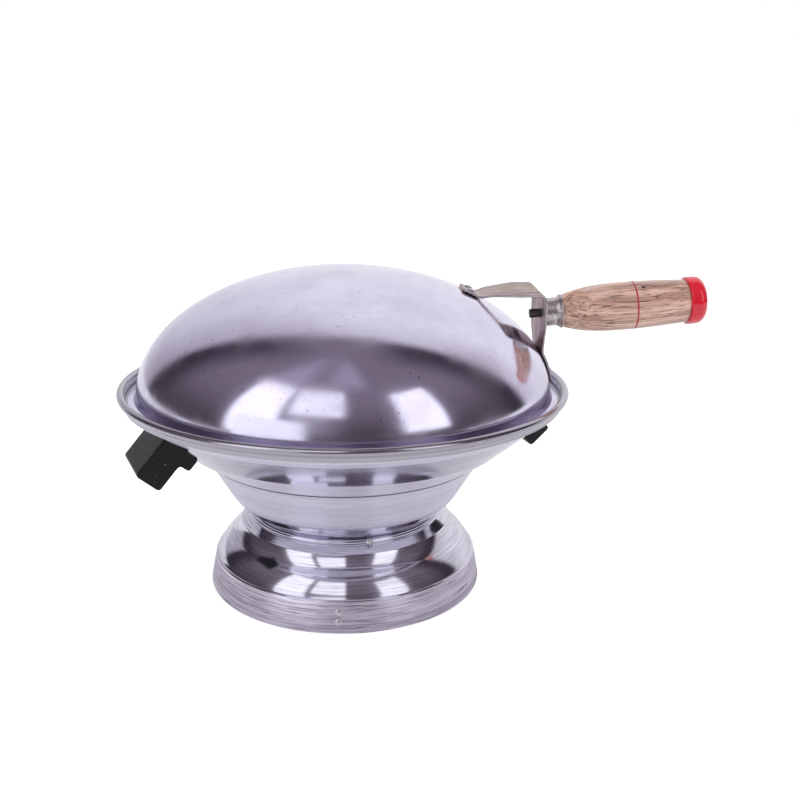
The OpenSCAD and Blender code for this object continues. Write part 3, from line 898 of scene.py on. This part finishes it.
# ---- Rack ----
# A plated wire ring that rests on the bowl's wall, with fifteen wires welded across it,
# two braces under them and two loops to lift it by.
def tube(path, radius, sides=16, closed=False):
    """Points and faces of a round wire along path, in millimetres, with softened ends."""
    count = len(path)
    points = []
    normal = None
    rows = []
    for i in range(count):
        ahead = path[(i + 1) % count] if closed else path[min(i + 1, count - 1)]
        behind = path[i - 1] if closed else path[max(i - 1, 0)]
        along = (ahead - behind).normalized()
        if normal is None:
            normal = along.orthogonal().normalized()
        normal = (normal - along * normal.dot(along)).normalized()
        rows.append((path[i], normal.copy(), along.cross(normal), radius))
    if not closed:
        first, n, b, r = rows[0]
        last, n2, b2, r2 = rows[-1]
        inward = (path[1] - path[0]).normalized() * 0.25
        back = (path[-2] - path[-1]).normalized() * 0.25
        rows = [(first, n, b, r - 0.25), (first + inward, n, b, r)] + rows[1:-1]
        rows = rows + [(last + back, n2, b2, r), (last, n2, b2, r - 0.25)]
    for point, n, b, r in rows:
        for k in range(sides):
            angle = 2 * math.pi * k / sides
            points.append((point + (n * math.cos(angle) + b * math.sin(angle)) * r) * MM)
    faces = []
    total = len(rows)
    for i in range(total if closed else total - 1):
        a = i * sides
        b = (i + 1) % total * sides
        for k in range(sides):
            j = (k + 1) % sides
            faces.append((a + k, a + j, b + j, b + k))
    if not closed:
        faces.append(tuple(range(sides - 1, -1, -1)))
        faces.append(tuple(range((total - 1) * sides, total * sides)))
    return points, faces


def wire_piece(name, parts, replaces):
    """A piece of the rack made of several wires."""
    points, faces = joined(parts)
    return make_piece(
        name, points, faces, [wire_metal], [0] * len(faces), "rack", replaces, Matrix()
    )


wire_metal = worn_metal("rack_wire_metal", (0.72, 0.71, 0.72), (0.45, 0.42, 0.40), 0.16, streak=0.25)
rack_r = 128
rack_z = crease.y + (rack_r - crease.x) * math.tan(wall_slope) + (1.5 + 2 + 0.3) / math.cos(wall_slope)
ring_path = []
for k in range(192):
    angle = 2 * math.pi * k / 192
    ring_path.append(Vector((rack_r * math.cos(angle), rack_r * math.sin(angle), rack_z)))
wire_piece("rack_ring.visual", [tube(ring_path, 2, closed=True)], ["rack_ring"])
wires = []
for number in range(15):
    y = (number - 7) * 16
    half = math.sqrt((rack_r + 0.5) ** 2 - y * y)
    wires.append(tube([Vector((-half, y, rack_z + 3.5)), Vector((half, y, rack_z + 3.5))], 1.5))
wire_piece("rack_wires.visual", wires, ["rack_wires"])
braces = []
for x in (-42, 42):
    half = math.sqrt((rack_r - 2) ** 2 - x * x) - 1
    braces.append(tube([Vector((x, -half, rack_z)), Vector((x, half, rack_z))], 2))
wire_piece("rack_braces.visual", braces, ["rack_braces"])
loops = []
loop_lean = 30
for side in (-1, 1):
    foot_z = rack_z + 2 * (1 + math.sin(math.radians(loop_lean))) + 0.05
    lean = Matrix.Translation((0, side * (rack_r - 1), foot_z))
    lean = lean @ Matrix.Rotation(math.radians(side * loop_lean), 4, "X")
    loop = [Vector((11, 0, 0)), Vector((11, 0, 1.5)), Vector((11, 0, 3))]
    for k in range(1, 32):
        angle = math.pi * k / 32
        loop.append(Vector((11 * math.cos(angle), 0, 3 + 11 * math.sin(angle))))
    loop = loop + [Vector((-11, 0, 3)), Vector((-11, 0, 1.5)), Vector((-11, 0, 0))]
    loops.append(tube([lean @ p for p in loop], 2))
wire_piece("rack_loops.visual", loops, ["rack_loops"])

# ---- Dome ----
# The lid, spun in one piece with a flat flange that sits on the bowl's ledge. It is
# polished outside, cloudy from use, and dull inside.
dome_r = 156.5
dome_h = 93.4
dome_z = 152.1
dome_metal, tree = material("dome_metal")
marks = use(tree, wear)
lines = use(tree, turning_lines, {"Pitch": 0.5})
tone = blend(tree, maths(tree, "MULTIPLY", marks["Cloud"], 0.6), (0.79, 0.76, 0.95), (0.62, 0.56, 0.69))
tone = blend(tree, maths(tree, "MULTIPLY", lines["Broad"], 0.25), tone, (0.62, 0.58, 0.70))
tone = blend(tree, marks["Specks"], tone, (0.16, 0.12, 0.13))
gloss = maths(tree, "ADD", 0.10, maths(tree, "MULTIPLY", marks["Cloud"], 0.12))
wave = add(tree, "Bump", {"Height": marks["Waves"], "Strength": 1.0, "Distance": 0.0008})
bump = add(
    tree,
    "Bump",
    {"Height": lines["Fine"], "Normal": wave, "Strength": 1.0, "Distance": 0.000003},
)
surface(
    tree,
    Base_Color=tone,
    Metallic=1.0,
    Roughness=gloss,
    Anisotropic=0.4,
    Anisotropic_Rotation=0.25,
    Tangent=add(tree, "Tangent", direction_type="RADIAL", axis="Z"),
    Normal=bump,
)


def on_dome(degrees, lift=0.0):
    """A point on the dome's curve, lifted off it, as (radius, height)."""
    a = math.radians(degrees)
    out = Vector((math.cos(a) / dome_r, math.sin(a) / dome_h)).normalized()
    return Vector((dome_r * math.cos(a), dome_z + dome_h * math.sin(a))) + out * lift


flange_r = 162.6
flange_z = 151
flange_top = flange_z + sheet_t
flange = [
    (dome_r - sheet_t, flange_z),
    (flange_r, flange_z),
    (flange_r, flange_top),
    (dome_r + 1.2, flange_top),
    on_dome(2),
]
flange = rounded(flange, 0.6)
dome_outside = flange[:-1] + [on_dome(a) for a in [2 + 88 * k / 72 for k in range(73)]]
dome_outside[-1] = Vector((0, dome_z + dome_h))
dome_inside = [on_dome(a, -1.5) for a in [90 - 89 * k / 72 for k in range(73)]]
dome_inside[0] = Vector((0, dome_z + dome_h - 1.5))
outline = dome_outside + dome_inside
edge = len(dome_outside)
dome = lathe(
    "lid_dome.visual",
    outline,
    [dome_metal, inside_metal],
    "lid",
    ["lid_dome"],
    lambda i, r, z: 1 if i >= edge - 1 else 0,
    turns=320,
)

# ---- Handle strap ----
# An aluminium strap, bent twice and riveted to the dome at both ends. It carries the grip
# away from the hot lid. Its outer corner has been twisted a little by use.
strap_metal = worn_metal(
    "strap_metal", (0.64, 0.50, 0.46), (0.20, 0.145, 0.135), 0.28, (0.10, 1.0, 0.10), 0.00004, 0.75
)
strap_edge_metal = worn_metal("strap_edge_metal", (0.70, 0.69, 0.74), (0.50, 0.47, 0.50), 0.35)
leg_x = 148
corner_z = 229.8
grip_z = 211
strap_w = 30
strap_t = 2
lift = strap_t / 2 + 0.15
knots = [on_dome(56 - 5.5 * k / 4, lift) for k in range(5)]
for x, drop in ((108, 3), (118, 2.1), (131, 1.2)):
    knots.append(Vector((x, corner_z - drop)))
for degrees in (85, 68, 51, 34, 17, 0):
    a = math.radians(degrees)
    knots.append(Vector((leg_x - 5 + 5 * math.cos(a), corner_z - 6 + 5 * math.sin(a))))
knots = knots + [Vector((leg_x, z)) for z in (grip_z + 7, grip_z, grip_z - 7)]
knots = knots + [Vector((leg_x + 0.2, 192)), Vector((leg_x + 1, 183))]
knots = knots + [on_dome(16 - 12 * k / 5, lift) for k in range(6)]


def through(knots, parts):
    """A smooth curve through the knots."""
    result = [knots[0]]
    for i in range(len(knots) - 1):
        p0 = knots[max(i - 1, 0)]
        p1 = knots[i]
        p2 = knots[i + 1]
        p3 = knots[min(i + 2, len(knots) - 1)]
        span = (p2 - p1).length
        m1 = (p2 - p0) / max((p2 - p0).length, 1e-6) * span
        m2 = (p3 - p1) / max((p3 - p1).length, 1e-6) * span
        for k in range(1, parts + 1):
            t = k / parts
            result.append(
                (2 * t**3 - 3 * t**2 + 1) * p1
                + (t**3 - 2 * t**2 + t) * m1
                + (3 * t**2 - 2 * t**3) * p2
                + (t**3 - t**2) * m2
            )
    return result


curve = through(knots, 5)
points = []
sides = []
for number, spot in enumerate(curve):
    if spot.x < leg_x - 6 and spot.y > grip_z:
        amount = max(0.0, min(1.0, (spot.x - 100) / 30))
    elif spot.y > grip_z - 8:
        amount = 1.0
    else:
        amount = max(0.0, min(1.0, (spot.y - 178) / 26))
    turn = math.radians(11 * amount)
    dip = math.radians(11 * amount)
    points.append(Vector((spot.x, 0, spot.y)))
    sides.append(
        Vector((math.sin(turn) * math.cos(dip), -math.cos(turn) * math.cos(dip), -math.sin(dip)))
    )
made, faces = strip(points, sides, strap_w, strap_t, 2.5)
# Each row of the strap has twenty faces: five at each corner and side in turn.
row = 20
edge_sides = (0, 1, 2, 3, 9, 10, 11, 12, 13, 19)
edge_faces = []
for index in range(len(faces)):
    on_edge = index < len(faces) - 2 and index % row in edge_sides
    edge_faces.append(1 if on_edge else 0)
make_piece(
    "handle_strap.visual",
    made,
    faces,
    [strap_metal, strap_edge_metal],
    edge_faces,
    "lid",
    ["handle_strap"],
    Matrix(),
)
strap_rivets = []
for degrees in (53.3, 9.0):
    for y in (-7.5, 7.5):
        spot = on_dome(degrees)
        a = math.radians(degrees)
        normal = math.atan2(math.sin(a) / dome_h, math.cos(a) / dome_r)
        seat = (
            Matrix.Translation((math.sqrt(spot.x**2 - y * y) * MM, y * MM, spot.y * MM))
            @ Matrix.Rotation(math.asin(y / spot.x), 4, "Z")
            @ Matrix.Rotation(math.pi / 2 - normal, 4, "Y")
            @ Matrix.Translation((0, 0, (strap_t + 0.8) * MM))
        )
        strap_rivets.append(rivet(4.4, seat))
points, faces = joined(strap_rivets)
make_piece(
    "strap_rivets.visual",
    points,
    faces,
    [rivet_metal],
    [0] * len(faces),
    "lid",
    ["strap_rivets"],
    Matrix(),
)

# ---- Rod and nut ----
# A steel rod runs from its head inside the strap through the ferrule and the grip. The nut
# on its far end, under the cap, holds them together.
dark_steel = worn_metal("dark_steel", (0.14, 0.12, 0.12), (0.06, 0.05, 0.05), 0.38)
plain_part("handle_rod", dark_steel, 0.0003)
plain_part("rod_nut", plated, 0.00012)

# ---- Ferrule ----
# A cast aluminium sleeve between the strap and the wood, flared where it meets the wood
# and pitted.
grip_frame = (
    Matrix.Translation((leg_x * MM, 0, grip_z * MM))
    @ Matrix.Rotation(math.radians(-4.8), 4, "Y")
    @ Matrix.Rotation(math.pi / 2, 4, "Y")
)
ferrule_metal, tree = material("cast_metal")
marks = use(tree, wear)
spot = add(tree, "TexCoord").node.outputs["Object"]
cast = add(tree, "TexNoise", {"Vector": spot, "Scale": 700.0, "Detail": 3.0})
tone = blend(tree, ramp(tree, cast, 0.3, 0.7), (0.48, 0.43, 0.42), (0.78, 0.72, 0.70))
tone = blend(tree, marks["Specks"], tone, (0.05, 0.04, 0.04))
bump = add(tree, "Bump", {"Height": cast, "Strength": 1.0, "Distance": 0.0001})
surface(tree, Base_Color=tone, Metallic=1.0, Roughness=0.34, Normal=bump)
ferrule_outline = rounded(
    [(3.05, 1.0), (10.8, 1.0), (10.8, 12), (11.5, 14.4), (13.0, 16), (13.0, 17), (3.05, 17)],
    0.8,
    closed=True,
)
ferrule = lathe(
    "handle_ferrule.visual",
    ferrule_outline,
    [ferrule_metal],
    "lid",
    ["handle_ferrule"],
    place=grip_frame,
    turns=96,
)

# ---- Wooden grip ----
# Turned hardwood, full in the middle, with a thin varnish that is worn away towards the
# ferrule.
wood, tree = material("turned_wood")
spot = add(tree, "TexCoord").node.outputs["Object"]
parts = add(tree, "SeparateXYZ", {0: spot}).node.outputs
stretched = add(tree, "VectorMath", {0: spot, 1: (1.0, 1.0, 0.035)}, operation="MULTIPLY")
sway = add(tree, "TexNoise", {"Vector": spot, "Scale": 18.0, "Detail": 2.0})
shift = add(tree, "CombineXYZ", {0: maths(tree, "MULTIPLY", sway, 0.004)})
bent = add(tree, "VectorMath", {0: stretched, 1: shift}, operation="ADD")
grain = add(tree, "TexNoise", {"Vector": bent, "Scale": 900.0, "Detail": 3.0, "Roughness": 0.6})
streaks = add(tree, "TexNoise", {"Vector": bent, "Scale": 220.0, "Detail": 4.0, "Roughness": 0.65})
patches = add(tree, "TexNoise", {"Vector": spot, "Scale": 40.0, "Detail": 3.0})
tone = blend(tree, ramp(tree, streaks, 0.36, 0.64), (0.50, 0.27, 0.20), (0.92, 0.60, 0.47))
pores = maths(tree, "MULTIPLY", ramp(tree, grain, 0.54, 0.62), 0.8)
tone = blend(tree, pores, tone, (0.16, 0.08, 0.065))
cracks = add(tree, "TexNoise", {"Vector": bent, "Scale": 330.0, "Detail": 1.0})
crack = maths(tree, "ABSOLUTE", maths(tree, "SUBTRACT", cracks, 0.5))
crack = maths(tree, "SUBTRACT", 1.0, ramp(tree, crack, 0.004, 0.018))
tone = blend(tree, maths(tree, "MULTIPLY", crack, 0.8), tone, (0.10, 0.05, 0.045))
near_ferrule = maths(tree, "SUBTRACT", 1.0, ramp(tree, parts[2], 0.03, 0.065))
worn = maths(tree, "MULTIPLY", ramp(tree, patches, 0.48, 0.62), near_ferrule)
tone = blend(tree, maths(tree, "MULTIPLY", worn, 0.7), tone, (0.70, 0.52, 0.44))
gloss = maths(tree, "ADD", 0.30, maths(tree, "MULTIPLY", streaks, 0.25))
coat = maths(tree, "MULTIPLY", ramp(tree, parts[2], 0.02, 0.07), 0.8)
bump = add(tree, "Bump", {"Height": grain, "Strength": 1.0, "Distance": 0.00008})
surface(tree, Base_Color=tone, Roughness=gloss, Normal=bump, Coat_Weight=coat, Coat_Roughness=0.12)
wood_start = 17
grip_len = 95.8
wood_end = wood_start + grip_len


def grip_radius(u):
    """The wood's radius at u along the grip, in millimetres."""
    k = (u - wood_start) / grip_len
    if k < 0.5:
        return 18.4 * (1 - 0.34 * (1 - k / 0.5) ** 2.6)
    return 18.4 * (1 - 0.11 * ((k - 0.5) / 0.5) ** 1.6)


ring_u = 71.8
profile = [Vector((3.1, wood_start + 0.05)), Vector((grip_radius(wood_start) - 0.5, wood_start + 0.05))]
for k in range(1, 96):
    u = wood_start + grip_len * k / 96
    if abs(u - ring_u) > 0.75:
        profile.append(Vector((grip_radius(u), u)))
    elif profile[-1].y < ring_u - 0.65 and profile[-1].x > 18:
        depth = grip_radius(ring_u) - 0.7
        profile.append(Vector((grip_radius(ring_u), ring_u - 0.65)))
        profile.append(Vector((depth, ring_u - 0.65)))
        profile.append(Vector((depth, ring_u + 0.65)))
        profile.append(Vector((grip_radius(ring_u), ring_u + 0.65)))
profile.append(Vector((grip_radius(wood_end) - 0.1, wood_end - 0.3)))
profile.append(Vector((grip_radius(wood_end) - 0.4, wood_end)))
for r, beyond in ((14, 0), (14, 4.9), (3.1, 4.9)):
    profile.append(Vector((r, wood_end + beyond)))
grip = lathe(
    "wooden_grip.visual",
    profile,
    [wood],
    "lid",
    ["wooden_grip"],
    place=grip_frame,
    turns=160,
)

# ---- Red ring and cap ----
# Glossy red plastic: a thin ring let into the grip, and a cap pressed over the tenon
# on its end.
red, tree = material("red_plastic")
marks = use(tree, wear)
dull = maths(tree, "MULTIPLY", marks["Cloud"], 0.5)
tone = blend(tree, dull, (0.80, 0.012, 0.035), (0.70, 0.010, 0.028))
gloss = maths(tree, "ADD", 0.10, maths(tree, "MULTIPLY", marks["Cloud"], 0.05))
surface(tree, Base_Color=tone, Roughness=gloss, Coat_Weight=0.5, Coat_Roughness=0.05)
ring_red, tree = material("faded_red_plastic")
marks = use(tree, wear)
tone = blend(tree, marks["Cloud"], (0.52, 0.035, 0.045), (0.36, 0.03, 0.035))
surface(tree, Base_Color=tone, Roughness=0.3)
base = grip_radius(ring_u) - 0.66
ring_outline = []
for rise, u in ((0, -0.63), (0.66, -0.6), (0.76, 0), (0.66, 0.6), (0, 0.63)):
    ring_outline.append(Vector((base + rise, ring_u + u)))
lathe(
    "grip_ring.visual",
    ring_outline,
    [ring_red],
    "lid",
    ["grip_ring"],
    place=grip_frame,
    turns=160,
)
cap_r = 18.2
cap_end = wood_end + 13.5
cap_outline = [Vector((14.05, wood_end + 0.05))] + rounded(
    [(14.3, wood_end + 0.05), (cap_r, wood_end + 0.05), (cap_r, wood_end + 5)], 0.9
)[1:-1]
for k in range(25):
    a = math.radians(90 * k / 24)
    cap_outline.append(Vector((cap_r - 7 + 7 * math.cos(a), cap_end - 7 + 7 * math.sin(a))))
for k in range(1, 9):
    r = (cap_r - 7) * (1 - k / 8)
    cap_outline.append(Vector((r, cap_end + 0.9 * (1 - (r / (cap_r - 7)) ** 2) * 0.98)))
cap_outline = cap_outline + [Vector((0, cap_end - 2.2)), Vector((14.05, cap_end - 2.2))]
lathe(
    "grip_cap.visual",
    cap_outline,
    [red],
    "lid",
    ["grip_cap"],
    place=grip_frame,
    turns=128,
)

# ---- Pin ----
# A nail through the wood that keeps the grip from turning. Its worn end shows bright, and the rim of
# its head round it is coloured near black as painted shade of the hole the nail sits in.
pin_metal = worn_metal("pin_metal", (0.80, 0.70, 0.62), (0.50, 0.40, 0.34), 0.3)
# Near black on the nail's head and shank: painted shade of the hole round the nail, which is not
# modelled.
pin_hole_painted_shade = worn_metal("pin_hole_painted_shade", (0.07, 0.045, 0.035), (0.04, 0.03, 0.025), 0.5)
pin_u = 77.8
pin_place = (
    Matrix.Translation((leg_x * MM, 0, grip_z * MM))
    @ Matrix.Rotation(math.radians(-4.8), 4, "Y")
    @ Matrix.Translation((pin_u * MM, 0, 0))
    @ Matrix.Rotation(math.radians(33), 4, "X")
    @ Matrix.Translation((0, 0, grip_radius(pin_u) * MM))
)
pin_outline = [(0, -12), (0.9, -12), (1, -11.9), (1, 0), (1.48, 0.02), (1.4, 0.16), (1.05, 0.46)]
pin_outline = pin_outline + [(0.8, 0.49), (0.7, 0.36), (0, 0.38)]
# Only the flat end of the nail gets the bright metal; the rest carries the painted shade of the hole.
lathe(
    "grip_pin.visual",
    pin_outline,
    [pin_hole_painted_shade, pin_metal],
    "lid",
    ["grip_pin"],
    lambda i, r, z: 1 if i == 8 else 0,
    place=pin_place,
    turns=48,
)
